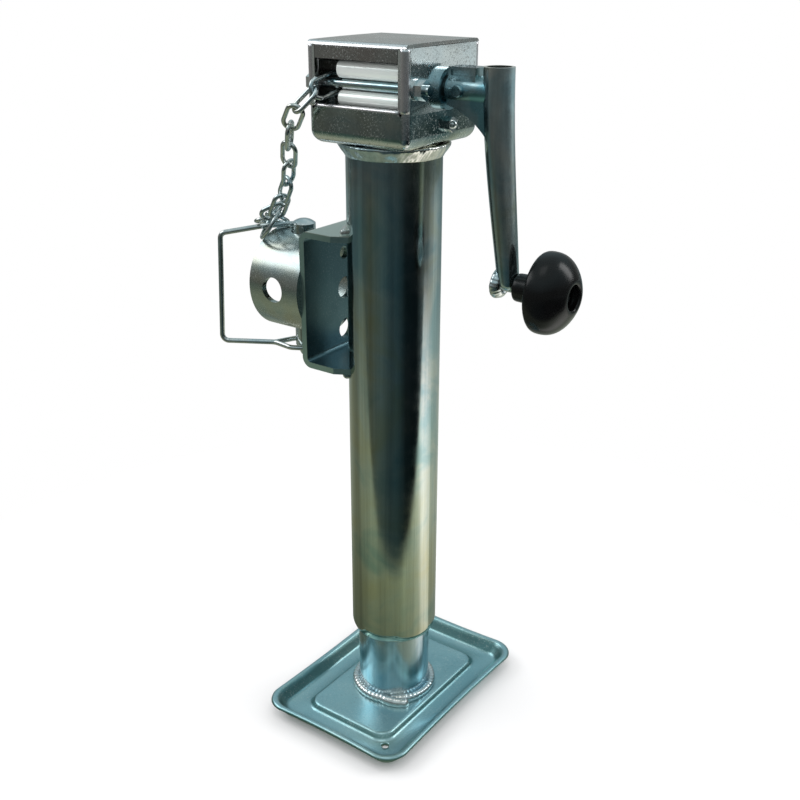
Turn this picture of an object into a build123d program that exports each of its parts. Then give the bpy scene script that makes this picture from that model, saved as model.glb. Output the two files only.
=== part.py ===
from build123d import *
import os
from math import atan2, cos, degrees, hypot, pi, radians, sin, sqrt, tan

# A side-wind prop stand for a trailer, in millimetres.
# The origin is on the tube's axis, on the ground under the foot. +Z is up.
# +X points to the crank, -X to the swivel socket. +Y and -Y are the foot's long way.

# Clearances
run_gap = 0.06
slide_gap = 0.3
screw_hole_gap = 1.5
race_gap = 0.2
seat_gap = 0.02
thread_gap = 0.25

# Foot plate, pressed from one sheet
foot_width = 117.0
foot_length = 163.4
foot_sheet = 2.2
foot_rim_height = 11.5
foot_rim_flare = 6.5
foot_lip = 1.6
foot_corner = 15.0
foot_round = 1.0
plateau_width = 68.0
plateau_length = 108.0
plateau_rise = 4.3
plateau_corner = 9.0
plateau_slope = 2.6
plateau_sink = 0.5
plateau_inset = 0.4
foot_hole_bore = 5.4
foot_hole_place = (36.4, -60.0)

# Leg: the tube that slides, with its weld to the foot
leg_outer = 51.0
leg_wall = 2.5
leg_top = 318.0
leg_weld_leg = 5.4
leg_weld_bulge = 0.62
stroke = 220.0

# Outer tube with its swaged lower end
tube_outer = 60.0
tube_wall = 3.0
tube_bottom = 57.0
tube_top = 404.0
swage_height = 7.5
swage_wall = 2.4
swage_bow = 0.25
swage_nose = 1.2
collar_leg = 4.8
collar_height = 8.5
collar_bulge = 0.36

# Gear housing, a folded sheet box with a window front and back
housing_width = 72.0
housing_depth = 75.2
housing_roof = 23.8
housing_sheet = 3.0
housing_side_bend = 4.5
housing_floor_bend = 7.5
window_strip = 6.0
window_sill = 22.0
relief_width = 1.6
relief_length = 4.2
relief_shift = 0.8
lid_sheet = 2.0
lid_crown = 0.2
lid_skirt = 9.8
lid_bend = 3.2
lid_overhang = 0.6

# Crank axis and bevel gears
axis_rise = 33.0
gear_module = 2.1
pinion_teeth = 10
gear_teeth = 20
gear_face = 7.0
gear_backlash = 0.5
tooth_top = 1.45
tooth_root = 2.35
tooth_angle = 20.0
gear_plate = 5.0
pinion_plate = 1.5
wheel_edge = 1.5
tooth_overlap = 0.4
hub_overlap = 0.5
gear_hub_outer = 26.0
pinion_hub_outer = 18.0
pinion_hub_gap = 1.45
pinion_pin_inset = 3.7

# Lead screw, its nut and its thrust bearing
screw_outer = 20.0
screw_journal = 14.0
screw_top_gap = 2.5
screw_chamfer = 2.0
nut_height = 22.0
nut_flange = 4.0
race_outer = 30.0
race_height = 2.2
ball_size = 3.0
ball_count = 12

# Crank shaft and its bushes
shaft_outer = 12.0
shaft_tail = 2.0
shaft_reach = 21.5
bush_reach = 1.0
bush_flange_outer = 24.0
bush_flange = 4.0
bush_outer = 18.0
clip_outer = 18.0
clip_sheet = 1.2
clip_groove = 2.0
clip_play = 0.1
clip_mouth = 9.0
roll_pin = 4.0

# Gear guards, beaded sheets behind the windows.
# Each bead is given inwards from the front and up from the axis.
guard_sheet = 1.2
guard_valley = 4.0
guard_upper = (9.2, 9.9)
guard_lower = (9.6, -6.6)
guard_tail = 25.0
guard_start = -17.0

# Screws through the housing walls
bolt_size = 6.0
bolt_inset = 10.0
bolt_rise = 1.4
hex_across = 10.0
hex_height = 5.0
washer_outer = 12.0
washer_sheet = 1.2
bolt_tail = 3.0
stop_size = 5.0
stop_across = 4.0
stop_drop = 20.8
stop_hex_across = 8.0
stop_hex_height = 4.0

# Crank: hub, arm, gusset and grip. The stations give the arm's way out from the hub's start.
hub_outer = 16.6
hub_gap = 1.5
hub_tab_inset = 1.5
hub_tab_length = 18.0
hub_tab_width = 13.0
hub_tab_rise = 13.0
hub_tab_recess = 1.2
hub_tab_rim = 1.6
hub_rivet = 6.0
hub_rivet_head = 7.6
hub_rivet_dome = 2.2
hub_rivet_inset = 9.0
arm_rise = 14.0
arm_foot = 3.0
arm_stations = ((31.1, 0.0, 9.0), (33.7, 0.4, 8.6), (38.4, 0.74, 7.6), (42.3, 1.0, 6.6))
arm_wall = 2.0
arm_hollow = 0.65
gusset_width = 13.0
gusset_wall = 2.2
gusset_drop = 33.0
gusset_setback = 0.5
gusset_overlap = 2.0
gusset_roof = 1.0
gusset_lip = 1.4
gusset_curve = (13.0, 13.5)
grip_drop = 110.0
grip_axle = 8.0
grip_inset = 6.8
grip_neck = 17.0
grip_neck_length = 15.0
grip_neck_flare = 3.0
grip_back = 40.0
grip_outer = 49.0
grip_crest = 19.4
grip_length = 37.4
grip_face = 19.0
grip_recess = 15.0
grip_recess_depth = 9.0
axle_head = 11.0
axle_head_height = 3.0
axle_tail = 1.5
grip_bead = 18.8
grip_bead_reach = 8.3
grip_bead_inset = 0.8
grip_bead_round = 2.6

# Side bracket, a channel welded to the tube
bracket_web = 53.5
bracket_sheet = 4.0
bracket_width = 60.0
bracket_bottom = 254.0
bracket_top = 346.0
bracket_bend = 7.0
bracket_straight = 27.4
bracket_meet = 0.58
bracket_weld = 3.6
bracket_weld_bulge = 0.6
bracket_weld_angle = 96.0
web_holes = ((11.0, 324.0, 9.0), (11.5, 299.5, 15.0), (11.5, 270.5, 14.0))

# Swivel socket, a short pipe on the bracket
socket_outer = 68.0
socket_wall = 4.0
socket_height = 303.5
socket_end = 95.0
socket_hole = 17.0

# Lock pin with its wire bail
pin_size = 16.0
pin_place = 75.0
pin_bottom = 250.0
pin_top = 345.6
pin_taper = 7.0
pin_tip = 9.0
pin_dome = 3.0
bail_wire = 3.5
bail_below_top = 6.1
bail_heading = 210.3
bail_reach = 57.5
bail_reach_low = 60.6
bail_corner_drop = 5.7
bail_fork_drop = 82.5
bail_bends = (3.0, 12.0, 4.5, 4.5, 8.0, 8.0)
bail_strand_bends = (4.0, 8.0)
bail_side = 13.0
bail_journal_end = 1.8
bail_level = 28.0
bail_split = 23.0
bail_strand_lead = 4.0
bail_fork_lead = 2.0
bail_fork_tail = 4.0

# Keeper chain. Its points are at equal steps from the cross bolt to the bail's ring,
# and each is given by how far it is off the straight line between them. The inset
# says how far inside the window the chain hangs on the bolt.
chain_wire = 2.8
chain_width = 12.4
chain_gap = 0.5
top_link_width = 14.0
chain_inset = 8.1
chain_points = (
    (0.0, 3.9, 1.8),
    (2.7, -15.2, 8.3),
    (2.2, -22.6, 9.5),
    (1.5, -20.4, 10.0),
    (3.8, -16.2, 8.8),
    (6.1, -11.8, 7.8),
    (8.4, -7.5, 6.8),
    (8.1, -5.3, 6.5),
    (8.7, -5.5, 5.2),
)
chain_rolls = (-14, 119, 51, 157, 50, 133, 7, 70)

# Ring that ties the chain to the bail, given along the bail, to its side and above its hinge
ring_size = 27.0
ring_place = (20.25, -5.11, 5.61)
ring_facing = (-0.83, 0.166, -0.531)

# Worked out from the sizes above
leg_radius = leg_outer / 2
tube_radius = tube_outer / 2
plateau_top = foot_sheet + plateau_rise
screw_bottom = leg_top + nut_flange - nut_height - stroke
housing_floor = tube_top
axis_height = housing_floor + axis_rise
housing_wall_top = axis_height + housing_roof
wall_outside = housing_width / 2
wall_inside = wall_outside - housing_sheet
front_outside = housing_depth / 2
window_half = wall_outside - window_strip
hub_start = wall_outside + bush_flange + hub_gap
hub_tab_start = hub_start + hub_tab_inset
hub_tab_end = hub_tab_start + hub_tab_length
hub_rivet_place = hub_start + hub_rivet_inset
shaft_left = wall_outside + bush_flange + shaft_tail
shaft_right = hub_start + shaft_reach
pinion_hub_end = wall_inside - bush_reach - pinion_hub_gap
pinion_pin_place = pinion_hub_end - pinion_pin_inset
arm_out = hub_start + arm_stations[0][0]
arm_end = hub_start + arm_stations[-1][0]
arm_end_radius = arm_stations[-1][2]
grip_start = arm_end + grip_inset
grip_end = grip_start + grip_length
bolt_place = (bolt_inset - front_outside, axis_height + bolt_rise)
stop_place = (stop_across, axis_height - stop_drop)
grip_height = axis_height - grip_drop
arm_top = axis_height + arm_rise
arm_bottom = grip_height + arm_foot
hub_tab_top = axis_height + hub_tab_rise
bail_height = pin_top - bail_below_top
pinion_radius = gear_module * pinion_teeth / 2
gear_radius = gear_module * gear_teeth / 2
cone_length = hypot(pinion_radius, gear_radius)
bearing_bottom = housing_floor + housing_sheet
bearing_top = bearing_bottom + 2 * race_height + ball_size + 2 * seat_gap
pin_radius = pin_size / 2


def save(name, shape):
    solids = shape.solids()
    export_step(Compound(solids) if len(solids) > 1 else solids[0], f"parts/{name}.step")


def rod(radius, start, end):
    """A cylinder from one point to another."""
    along = Vector(*end) - Vector(*start)
    middle = (Vector(*start) + Vector(*end)) / 2
    return Plane(origin=middle, z_dir=along).location * Cylinder(radius, along.length)


def ring(outer, inner, start, end):
    """A tube between two points, given by its two diameters."""
    return rod(outer / 2, start, end) - rod(inner / 2, start, end)


def turned(points, axis=Axis.Z):
    """A solid turned about an axis from a profile of straight edges."""
    return revolve(make_face(Polyline(*points, close=True)), axis)


def quarter_arc(start, corner, end):
    """A quarter circle in a plane, from one side of a square corner to the other."""
    start, corner, end = Vector(*start), Vector(*corner), Vector(*end)
    middle = start + end - corner
    return ThreePointArc(start, middle + (corner - middle) * sqrt(0.5), end)


def level_arc(crest, end):
    """An arc in the XZ plane that leaves its crest level and falls to its end."""
    across = end[0] - crest[0]
    drop = crest[1] - end[1]
    radius = (across**2 + drop**2) / (2 * drop)
    half = atan2(across, radius - drop) / 2
    middle = (crest[0] + radius * sin(half), 0, crest[1] - radius * (1 - cos(half)))
    return ThreePointArc((crest[0], 0, crest[1]), middle, (end[0], 0, end[1]))


def rounded(width, length, radius, height):
    return Plane.XY.offset(height) * RectangleRounded(width, length, radius)


def hexagon(across, start, end):
    along = Vector(*end) - Vector(*start)
    flat = Plane(origin=Vector(*start), z_dir=along) * RegularPolygon(across / 2, 6, major_radius=False)
    return extrude(flat, along.length)


# Foot and leg
def foot_plate():
    slope = foot_rim_flare / foot_rim_height
    skin = foot_sheet * sqrt(1 + slope**2)
    base_width = foot_width - 2 * foot_lip - 2 * foot_rim_flare
    base_length = foot_length - 2 * foot_lip - 2 * foot_rim_flare
    rim_width = foot_width - 2 * foot_lip
    rim_length = foot_length - 2 * foot_lip
    outside = loft([
        rounded(base_width, base_length, foot_corner - foot_rim_flare, 0),
        rounded(rim_width, rim_length, foot_corner, foot_rim_height),
    ])
    lip_face = rounded(foot_width, foot_length, foot_corner + foot_lip, foot_rim_height - foot_sheet)
    lip = extrude(lip_face, foot_sheet)
    low = slope * foot_sheet
    inside = loft([
        rounded(base_width + 2 * (low - skin), base_length + 2 * (low - skin),
                foot_corner - foot_rim_flare + low - skin + foot_round, foot_sheet),
        rounded(rim_width + 2 * (slope - skin), rim_length + 2 * (slope - skin),
                foot_corner + slope - skin + foot_round, foot_rim_height + 1),
    ])
    pan = outside + lip - inside
    pan += plateau(0, foot_sheet - plateau_sink)
    pan -= plateau(plateau_slope * plateau_inset, -plateau_sink)
    hole = Location((*foot_hole_place, foot_sheet / 2)) * Cylinder(foot_hole_bore / 2, 4 * foot_sheet)
    return pan - hole


def plateau(inset, bottom):
    """The raised middle: a low block with sloping sides, from a little under its base."""
    extra = plateau_slope * plateau_sink / plateau_rise
    top = bottom + plateau_rise + plateau_sink
    low_width = plateau_width + 2 * (plateau_slope + extra - inset)
    low_length = plateau_length + 2 * (plateau_slope + extra - inset)
    low_corner = plateau_corner + plateau_slope
    return loft([
        rounded(low_width, low_length, low_corner, bottom),
        rounded(plateau_width - 2 * inset, plateau_length - 2 * inset, plateau_corner, top),
    ])


def leg_tube():
    return ring(leg_outer, leg_outer - 2 * leg_wall, (0, 0, plateau_top), (0, 0, leg_top))


def fillet_weld(radius, out, up, bulge, spread=360.0):
    """A weld bead in the corner between a tube and a plate at height 0, turned about the tube."""
    corner = (radius, 0, 0)
    foot = (radius + out, 0, 0)
    top = (radius, 0, up)
    crest = (radius + out * bulge, 0, up * bulge)
    face = make_face([Line(corner, foot), ThreePointArc(foot, crest, top), Line(top, corner)])
    return revolve(face, Axis.Z, spread)


def leg_weld():
    bead = fillet_weld(leg_radius, leg_weld_leg, leg_weld_leg, leg_weld_bulge)
    return Location((0, 0, plateau_top)) * bead


def screw_nut():
    """The nut stands on the leg's top end, with a spigot inside it."""
    bore = screw_outer / 2 + thread_gap
    spigot = leg_radius - leg_wall - slide_gap / 2
    return turned([
        (bore, 0, leg_top - nut_height + nut_flange),
        (spigot, 0, leg_top - nut_height + nut_flange),
        (spigot, 0, leg_top),
        (leg_radius, 0, leg_top),
        (leg_radius, 0, leg_top + nut_flange),
        (bore, 0, leg_top + nut_flange),
    ])


# Outer tube
def outer_tube():
    inner = tube_radius - tube_wall
    throat = leg_radius + slide_gap
    neck = throat + swage_wall
    shoulder = tube_bottom + swage_height
    nose_top = tube_bottom + swage_nose
    profile = [
        Line((tube_radius, 0, tube_top), (tube_radius, 0, shoulder)),
        ThreePointArc(
            (tube_radius, 0, shoulder),
            (tube_radius - swage_bow * (tube_radius - neck), 0, (shoulder + nose_top) / 2),
            (neck, 0, nose_top),
        ),
        Line((neck, 0, nose_top), (neck - swage_nose, 0, tube_bottom)),
        Line((neck - swage_nose, 0, tube_bottom), (throat, 0, tube_bottom)),
        Line((throat, 0, tube_bottom), (throat, 0, shoulder - 0.5 * swage_height)),
        Line((throat, 0, shoulder - 0.5 * swage_height), (inner, 0, shoulder)),
        Line((inner, 0, shoulder), (inner, 0, tube_top)),
        Line((inner, 0, tube_top), (tube_radius, 0, tube_top)),
    ]
    return revolve(make_face(profile), Axis.Z)


def collar_weld():
    bead = fillet_weld(tube_radius, collar_leg, collar_height, collar_bulge)
    return Location((0, 0, tube_top)) * (Rot(180, 0, 0) * bead)


# Gear housing
def box_between(low, high):
    size = [h - l for l, h in zip(low, high)]
    middle = [(l + h) / 2 for l, h in zip(low, high)]
    return Location(middle) * Box(*size)


def round_box(inset, top):
    """The housing's outer or inner box, with its bends."""
    half_x = wall_outside - inset
    half_y = front_outside - inset
    low = housing_floor + inset
    box = box_between((-half_x, -half_y, low), (half_x, half_y, top))
    box = fillet(box.edges().filter_by(Axis.Z), housing_side_bend - inset)
    floor_edges = box.edges().group_by(Axis.Z)[0]
    return fillet(floor_edges, housing_floor_bend - inset)


def gear_housing():
    box = round_box(0, housing_wall_top) - round_box(housing_sheet, housing_wall_top + 1)
    sill = housing_floor + window_sill
    box -= box_between(
        (-window_half, -housing_depth, sill), (window_half, housing_depth, housing_wall_top + 1)
    )
    relief = box_between(
        (-relief_length / 2, -housing_depth, -relief_width / 2),
        (relief_length / 2, housing_depth, relief_width / 2),
    )
    for side_x in (-1, 1):
        box -= Location((side_x * (window_half + relief_shift), 0, sill)) * (Rot(0, 45 * side_x, 0) * relief)
    reach = housing_width
    bush_hole = rod(bush_outer / 2 + seat_gap, (-reach, 0, axis_height), (reach, 0, axis_height))
    bolt_hole = rod(bolt_size / 2 + slide_gap, (-reach, *bolt_place), (reach, *bolt_place))
    stop_hole = rod(stop_size / 2 + slide_gap, (0, *stop_place), (reach, *stop_place))
    screw_hole = rod(screw_journal / 2 + screw_hole_gap, (0, 0, tube_bottom), (0, 0, axis_height))
    return box - bush_hole - bolt_hole - stop_hole - screw_hole


def lid():
    """An inverted channel: crowned top, rounded shoulders and a skirt over each window."""
    half = front_outside
    top = housing_wall_top + lid_sheet
    skirt_end = top - lid_skirt
    outer = [
        Line((0, -half, skirt_end), (0, -half, top - lid_bend)),
        quarter_arc((0, -half, top - lid_bend), (0, -half, top), (0, -half + lid_bend, top)),
        ThreePointArc((0, -half + lid_bend, top), (0, 0, top + lid_crown), (0, half - lid_bend, top)),
        quarter_arc((0, half - lid_bend, top), (0, half, top), (0, half, top - lid_bend)),
        Line((0, half, top - lid_bend), (0, half, skirt_end)),
        Line((0, half, skirt_end), (0, half - lid_sheet, skirt_end)),
        Line((0, half - lid_sheet, skirt_end), (0, half - lid_sheet, top - lid_sheet)),
        ThreePointArc((0, half - lid_sheet, top - lid_sheet), (0, 0, top - lid_sheet + lid_crown),
                      (0, -half + lid_sheet, top - lid_sheet)),
        Line((0, -half + lid_sheet, top - lid_sheet), (0, -half + lid_sheet, skirt_end)),
        Line((0, -half + lid_sheet, skirt_end), (0, -half, skirt_end)),
    ]
    half_x = wall_outside - lid_overhang
    sheet = extrude(make_face(outer), half_x, dir=(1, 0, 0), both=True)
    skirt_half = window_half - slide_gap
    for side_x in (-1, 1):
        corner = box_between(
            (0, -housing_depth, skirt_end - 1), (housing_width, housing_depth, housing_wall_top)
        )
        corner = Location((skirt_half, 0, 0)) * corner
        sheet -= corner if side_x > 0 else mirror(corner, Plane.YZ)
    return sheet


def guard_face():
    """The front guard's section: a bead above and a bead below, with a valley round the cross bolt."""
    valley = Vector(0, *bolt_place)
    upper = Vector(0, guard_upper[0] - front_outside, axis_height + guard_upper[1])
    lower = Vector(0, guard_lower[0] - front_outside, axis_height + guard_lower[1])
    sides = []
    for away in (guard_sheet / 2, -guard_sheet / 2):
        upper_radius = (upper - valley).length - guard_valley + away
        lower_radius = (lower - valley).length - guard_valley + away
        high = upper + Vector(0, 0, upper_radius)
        join_high = upper + (valley - upper).normalized() * upper_radius
        join_low = lower + (valley - lower).normalized() * lower_radius
        low = lower - Vector(0, 0, lower_radius)
        sides.append([
            ThreePointArc(high, upper - Vector(0, upper_radius, 0), join_high),
            ThreePointArc(join_high, valley + Vector(0, guard_valley - away, 0), join_low),
            ThreePointArc(join_low, lower - Vector(0, lower_radius, 0), low),
            Line(low, Vector(0, -guard_tail, low.Z)),
        ])
    near, far = sides
    ends = [Line(near[0] @ 0, far[0] @ 0), Line(near[-1] @ 1, far[-1] @ 1)]
    return make_face(near + far + ends)


def gear_guard(side_y):
    """A beaded sheet behind a window, fixed to the crank side's wall and open at its far end."""
    sheet = Location((guard_start, 0, 0)) * extrude(guard_face(), wall_inside - guard_start, dir=(1, 0, 0))
    return sheet if side_y < 0 else mirror(sheet, Plane.XZ)


# Bevel gears
def cone_tooth(angle, half_pitch, height_up, height_down):
    """One straight bevel tooth on a cone of half angle `angle`, tapering to the tip at the origin."""
    generator = Vector(sin(angle), 0, -cos(angle))
    normal = Vector(cos(angle), 0, sin(angle))
    flank = tan(radians(tooth_angle))
    faces = []
    for scale in (1.0, (cone_length - gear_face) / cone_length):
        centre = generator * cone_length
        top = half_pitch - flank * height_up
        root = half_pitch + flank * height_down
        corners = [
            centre + normal * height_up + Vector(0, top, 0),
            centre + normal * height_up + Vector(0, -top, 0),
            centre - normal * height_down + Vector(0, -root, 0),
            centre - normal * height_down + Vector(0, root, 0),
        ]
        faces.append(make_face(Polyline(*[c * scale for c in corners], close=True)))
    return loft(faces, ruled=True)


def bevel_wheel(teeth, radius, mate_radius, plate, first):
    """A toothed cone with its tip at the origin and its teeth facing up, and the height of its back."""
    angle = atan2(radius, mate_radius)
    half_pitch = pi * gear_module / 4 - gear_backlash / 2
    tooth = cone_tooth(angle, half_pitch, tooth_top, tooth_root + tooth_overlap)
    generator = Vector(sin(angle), 0, -cos(angle))
    normal = Vector(cos(angle), 0, sin(angle))
    outer = generator * cone_length - normal * tooth_root
    inner = outer * ((cone_length - gear_face) / cone_length)
    back = outer - normal * plate
    floor = min(back.Z, outer.Z - wheel_edge)
    body = turned([
        (0, 0, inner.Z),
        (inner.X, 0, inner.Z),
        (outer.X, 0, outer.Z),
        (back.X, 0, floor),
        (0, 0, floor),
    ])
    for index in range(teeth):
        body += Rot(0, 0, first + index * 360 / teeth) * tooth
    return body, floor


def bevel_gear():
    """The large wheel on the screw, with its hub down to the thrust bearing."""
    wheel, floor = bevel_wheel(gear_teeth, gear_radius, pinion_radius, gear_plate, 180 / gear_teeth)
    wheel = Location((0, 0, axis_height)) * wheel
    floor += axis_height
    hub = rod(gear_hub_outer / 2, (0, 0, bearing_top + seat_gap), (0, 0, floor + hub_overlap))
    bore = rod(screw_journal / 2 + seat_gap, (0, 0, bearing_bottom), (0, 0, axis_height))
    return wheel + hub - bore


def bevel_pinion():
    """The small wheel on the crank shaft, with its hub towards the crank."""
    wheel, floor = bevel_wheel(pinion_teeth, pinion_radius, gear_radius, pinion_plate, 0)
    hub = rod(pinion_hub_outer / 2, (0, 0, floor + hub_overlap), (0, 0, -pinion_hub_end))
    bore = rod(shaft_outer / 2 + seat_gap, (0, 0, 0), (0, 0, -housing_width))
    wheel = Rot(0, 0, 180) * (wheel + hub - bore)
    wheel = Location((0, 0, axis_height)) * (Rot(0, -90, 0) * wheel)
    return wheel - cross_hole(pinion_pin_place, roll_pin)


def cross_hole(place, size):
    """A level hole across the crank shaft, for a pin or a rivet."""
    reach = housing_depth / 2
    return rod(size / 2 + seat_gap, (place, -reach, axis_height), (place, reach, axis_height))


# Screw and thrust bearing
def lead_screw():
    journal = screw_journal / 2
    body = screw_outer / 2
    top = axis_height - shaft_outer / 2 - screw_top_gap
    cut = screw_chamfer
    return turned([
        (0, 0, screw_bottom),
        (body - cut, 0, screw_bottom),
        (body, 0, screw_bottom + cut),
        (body, 0, housing_floor - cut),
        (journal, 0, housing_floor - cut),
        (journal, 0, top - cut / 2),
        (journal - cut / 2, 0, top),
        (0, 0, top),
    ])


def thrust_race(bottom):
    bore = screw_journal + 2 * race_gap
    return ring(race_outer, bore, (0, 0, bottom), (0, 0, bottom + race_height))


def thrust_balls():
    circle = (race_outer + screw_journal) / 4
    height = bearing_bottom + race_height + seat_gap + ball_size / 2
    balls = [
        Location((circle * cos(2 * pi * i / ball_count), circle * sin(2 * pi * i / ball_count), height))
        * Sphere(ball_size / 2 - seat_gap)
        for i in range(ball_count)
    ]
    return Compound([ball.solid() for ball in balls])


# Crank shaft and what holds it
def crank_shaft():
    shaft = rod(shaft_outer / 2, (-shaft_left, 0, axis_height), (shaft_right, 0, axis_height))
    groove = (-clip_place(), 0, axis_height)
    groove_end = (-clip_place() - clip_sheet - clip_play, 0, axis_height)
    shaft -= ring(shaft_outer + clip_groove, shaft_outer - clip_groove, groove, groove_end)
    return shaft - cross_hole(pinion_pin_place, roll_pin) - cross_hole(hub_rivet_place, hub_rivet)


def clip_place():
    return wall_outside + bush_flange + seat_gap


def shaft_bush(side_x):
    """A flanged bush pressed in a housing wall."""
    bore = shaft_outer / 2 + run_gap
    inside = wall_inside - bush_reach
    outside = wall_outside + bush_flange
    body = rod(bush_outer / 2, (inside, 0, 0), (wall_outside, 0, 0))
    body += rod(bush_flange_outer / 2, (wall_outside, 0, 0), (outside, 0, 0))
    body -= rod(bore, (inside - 1, 0, 0), (outside + 1, 0, 0))
    if side_x < 0:
        body = mirror(body, Plane.YZ)
    return Location((0, 0, axis_height)) * body


def shaft_clip():
    """An open spring ring in the groove at the shaft's far end."""
    start = -clip_place() - clip_play / 2
    end = start - clip_sheet
    bore = shaft_outer - clip_groove + 2 * seat_gap
    mouth = box_between(
        (end - 1, -clip_mouth / 2, axis_height - clip_outer), (start + 1, clip_mouth / 2, axis_height)
    )
    return ring(clip_outer, bore, (start, 0, axis_height), (end, 0, axis_height)) - mouth


# Screws through the walls
def cross_bolt():
    """The bolt across the front window that the keeper chain hangs on."""
    left = -wall_outside - washer_sheet
    right = wall_outside + washer_sheet + hex_height + bolt_tail
    shank = rod(bolt_size / 2, (left, *bolt_place), (right, *bolt_place))
    return shank + hexagon(hex_across, (left, *bolt_place), (left - hex_height + 1, *bolt_place))


def bolt_washers():
    rings = []
    for side_x in (-1, 1):
        start = side_x * wall_outside
        rings.append(ring(washer_outer, bolt_size + slide_gap, (start, *bolt_place),
                          (start + side_x * washer_sheet, *bolt_place)).solid())
    return Compound(rings)


def bolt_nut():
    start = wall_outside + washer_sheet
    body = hexagon(hex_across, (start, *bolt_place), (start + hex_height, *bolt_place))
    return body - rod(bolt_size / 2 + seat_gap, (0, *bolt_place), (housing_width, *bolt_place))


def stop_screw():
    start = wall_inside - 4
    end = wall_outside + stop_hex_height
    shank = rod(stop_size / 2, (start, *stop_place), (end, *stop_place))
    head = hexagon(stop_hex_across, (wall_outside, *stop_place), (end, *stop_place))
    dome = Location((end, *stop_place)) * Sphere(stop_size / 2)
    return shank + head + dome


# Crank
def arm_level(share):
    """A height on the arm, from 0 at its top to 1 at its lower end."""
    return arm_top + share * (arm_bottom - arm_top)


def arm_body(inset, top_extra=0.0):
    """The arm's outer or inner form: round sections that shrink and lean out towards the grip."""
    sections = []
    for out, share, radius in arm_stations:
        height = arm_level(share) + (top_extra if share == 0 else 0)
        middle = Location((hub_start + out, 0, 0))
        sections.append(Plane.XY.offset(height) * (middle * Circle(radius - inset)))
    return loft(sections)


def axle_hole():
    return rod(grip_axle / 2 + seat_gap, (0, 0, grip_height), (2 * housing_width, 0, grip_height))


def crank_arm():
    arm = arm_body(0) + Location((arm_end, 0, arm_bottom)) * Sphere(arm_end_radius)
    reach = housing_depth
    open_part = box_between((0, -reach, arm_level(arm_hollow)), (2 * reach, reach, arm_top + reach))
    return arm - (arm_body(arm_wall, 1.0) & open_part) - axle_hole()


def crank_hub():
    """The sleeve on the shaft, its square cap and the gusset that runs down into the arm."""
    reach = arm_out
    half = hub_tab_width / 2
    sleeve = rod(hub_outer / 2, (hub_start, 0, axis_height), (reach, 0, axis_height))
    cap = box_between((hub_tab_start, -half, axis_height), (hub_tab_end, half, hub_tab_top))
    hub = sleeve + cap + gusset_form(0) - gusset_form(gusset_wall)
    pocket = box_between(
        (hub_tab_start + hub_tab_rim, half - hub_tab_recess, axis_height + hub_outer / 2),
        (hub_tab_end - hub_tab_rim, half, hub_tab_top - hub_tab_rim),
    )
    hub -= pocket + mirror(pocket, Plane.XZ)
    hub -= arm_body(-seat_gap, hub_tab_top - axis_height)
    hub -= rod(shaft_outer / 2 + seat_gap, (0, 0, axis_height), (2 * reach, 0, axis_height))
    return hub - cross_hole(hub_rivet_place, hub_rivet)


def gusset_form(inset):
    """The gusset's outer form, or with an inset the hollow that is open along its curved edge."""
    top = axis_height if inset == 0 else axis_height - gusset_roof
    start = hub_start + gusset_setback + inset
    reach = arm_out + gusset_overlap
    sleeve_bottom = axis_height - hub_outer / 2 - inset
    low = axis_height - gusset_drop - inset
    middle = (start + gusset_curve[0], 0, axis_height - gusset_curve[1] - gusset_lip * inset)
    outline = [
        Line((start, 0, top), (reach, 0, top)),
        Line((reach, 0, top), (reach, 0, low)),
        ThreePointArc((reach, 0, low), middle, (start, 0, sleeve_bottom)),
        Line((start, 0, sleeve_bottom), (start, 0, top)),
    ]
    return extrude(make_face(outline), gusset_width / 2 - inset, dir=(0, 1, 0), both=True)


def hub_rivet_solid():
    """The rivet through hub and shaft, a low dome at each end."""
    half = hub_outer / 2 + seat_gap
    end = half + hub_rivet_dome
    body = rod(hub_rivet / 2, (0, -half, 0), (0, half, 0))
    head = Location((0, half, 0)) * Sphere(hub_rivet_head / 2)
    head &= box_between((-hub_rivet_head, half, -hub_rivet_head), (hub_rivet_head, end, hub_rivet_head))
    return Location((hub_rivet_place, 0, axis_height)) * (body + head + mirror(head, Plane.XZ))


def pinion_roll_pin():
    half = pinion_hub_outer / 2 - slide_gap
    return rod(roll_pin / 2, (pinion_pin_place, -half, axis_height), (pinion_pin_place, half, axis_height))


def grip_axle_solid():
    """The pin that the grip turns on, with its head in the grip's recess."""
    head_start = grip_end - grip_recess_depth + slide_gap
    head_end = head_start + axle_head_height
    tail = arm_end - arm_end_radius - axle_tail
    shank = rod(grip_axle / 2, (tail, 0, grip_height), (head_end, 0, grip_height))
    head = rod(axle_head / 2, (head_start, 0, grip_height), (head_end, 0, grip_height))
    return shank + head


def grip_weld():
    """The rounded bead round the axle on the arm's inner side."""
    start = arm_end - grip_bead_reach
    end = arm_end - grip_bead_inset
    bead = rod(grip_bead / 2, (start, 0, grip_height), (end, 0, grip_height))
    bead = fillet(bead.edges().filter_by(GeomType.CIRCLE), grip_bead_round)
    bead -= arm_body(-seat_gap)
    bead -= Location((arm_end, 0, arm_bottom)) * Sphere(arm_end_radius + seat_gap)
    return bead - axle_hole()


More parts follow.
